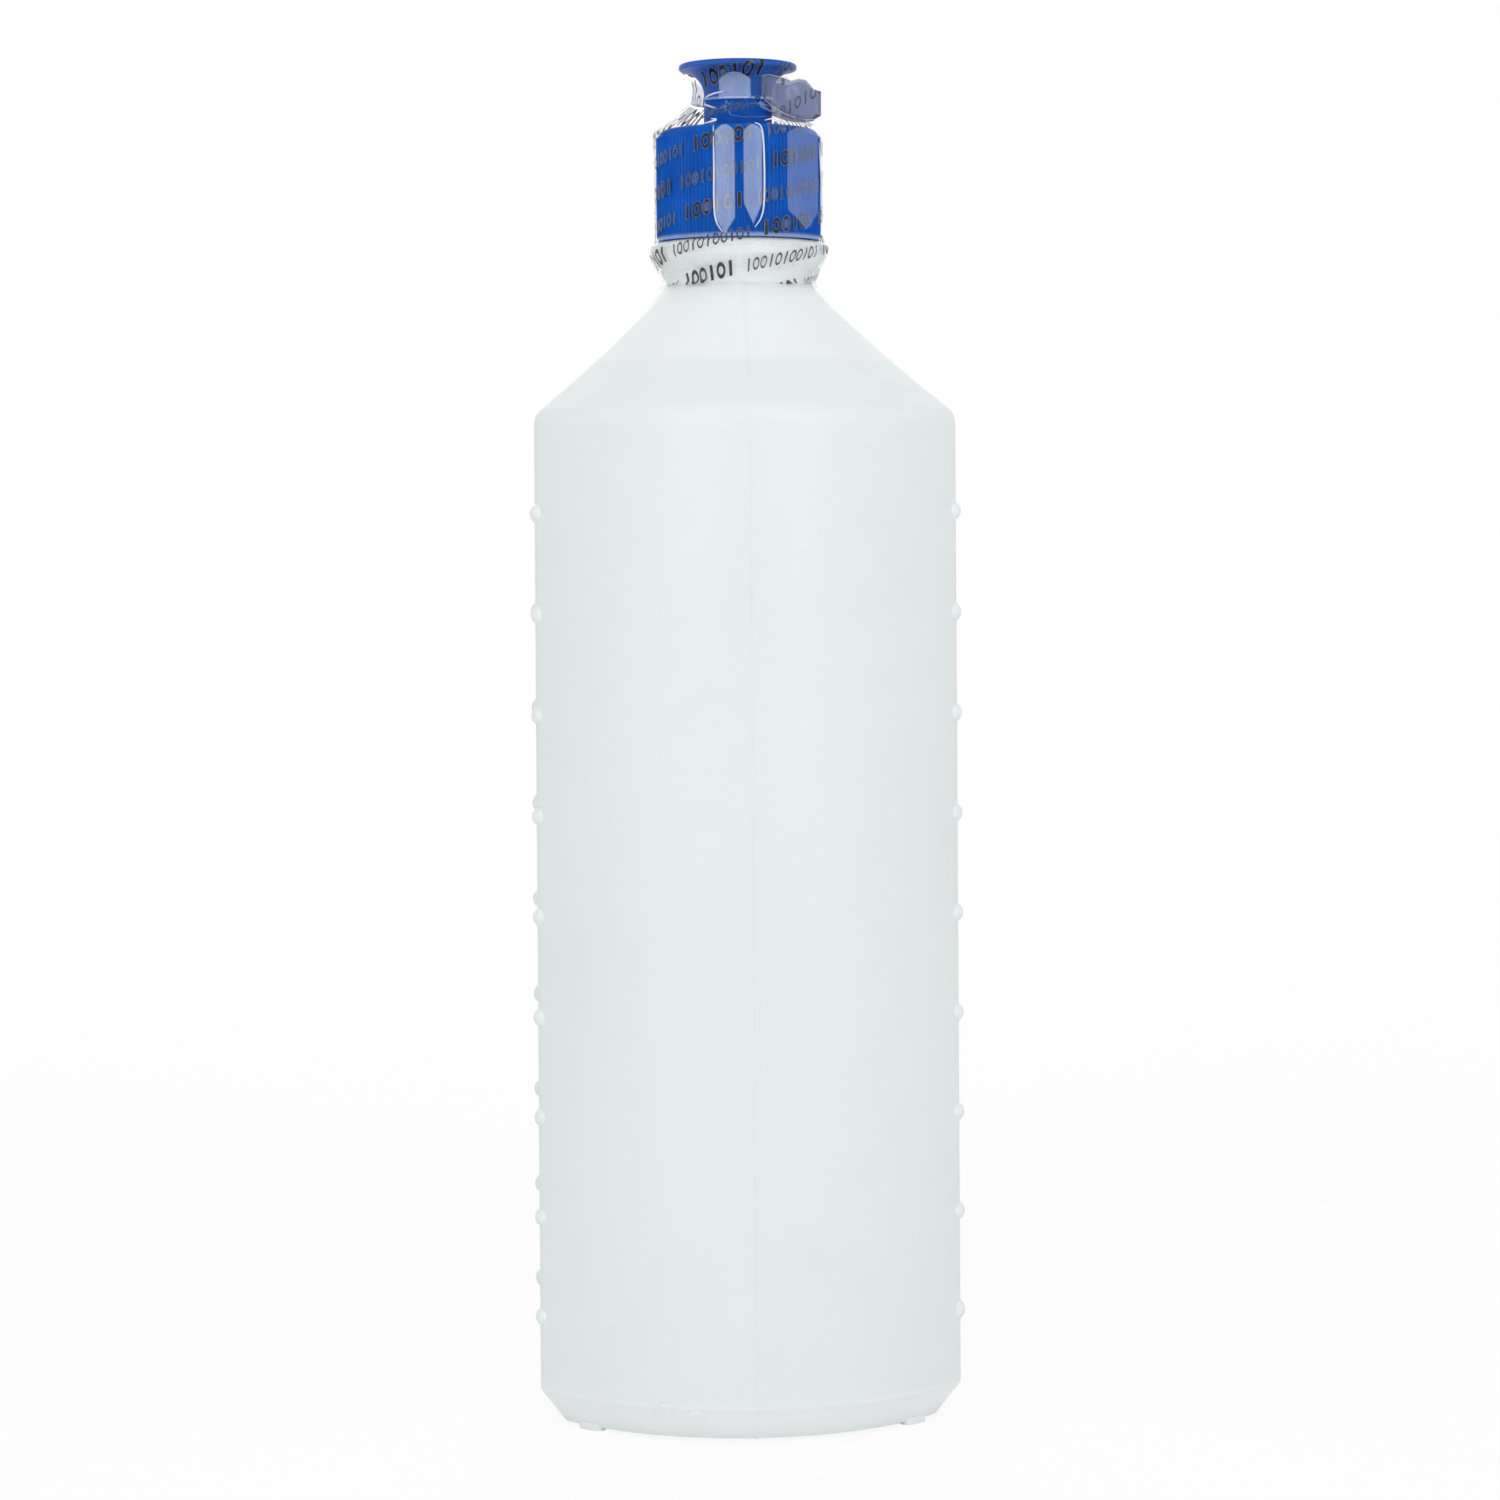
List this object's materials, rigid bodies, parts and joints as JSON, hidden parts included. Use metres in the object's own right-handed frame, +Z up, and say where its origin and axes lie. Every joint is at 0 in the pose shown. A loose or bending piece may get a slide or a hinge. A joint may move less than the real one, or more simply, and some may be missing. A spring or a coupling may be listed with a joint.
{
  "type": "contact lens solution bottle",
  "caption": "Squeeze bottle with flat flanks and bowed faces, conical shoulder, ribbed screw cap with a spool-shaped pull spout, and clear shrink film over the closure.",
  "frame": {"origin": "under the middle of the base, on the plane of the four feet", "axes": "+Z up along the bottle, +X to the right flank, -Y to the front with the two moulding dots"},
  "size_m": [0.0662, 0.065, 0.2093],
  "materials": {
    "bottle_plastic": "milky translucent polyethylene, satin",
    "liquid": "clear liquid, seen only as the milky body's fill",
    "closure_plastic": "moulded polypropylene, semi gloss",
    "liner_foam": "closed-cell foam",
    "film": "clear shrink film, glossy, creased"
  },
  "bodies": {
    "bottle": {"bottle": "bottle_plastic", "solution": "liquid", "neck_film": "film"},
    "wad": {"cap_liner": "liner_foam"},
    "cap": {"cap": "closure_plastic", "cap_film": "film"},
    "spout": {"pull_spout": "closure_plastic", "spout_film": "film"}
  },
  "joints": [
    {"name": "cap_lift", "type": "slide", "parent": "bottle", "child": "wad", "axis": [0, 0, 1], "range_m": [0, 0.00794]},
    {"name": "cap_turn", "type": "hinge", "parent": "wad", "child": "cap", "pos_m": [0, 0, 0.19], "axis": [0, 0, 1], "range_deg": [0, 900]},
    {"name": "spout_pull", "type": "slide", "parent": "cap", "child": "spout", "axis": [0, 0, 1], "range_m": [0, 0.0045]}
  ],
  "couplings": [
    {"joint": "cap_lift", "follows": "cap_turn", "m_per_rad": 0.00050532}
  ]
}
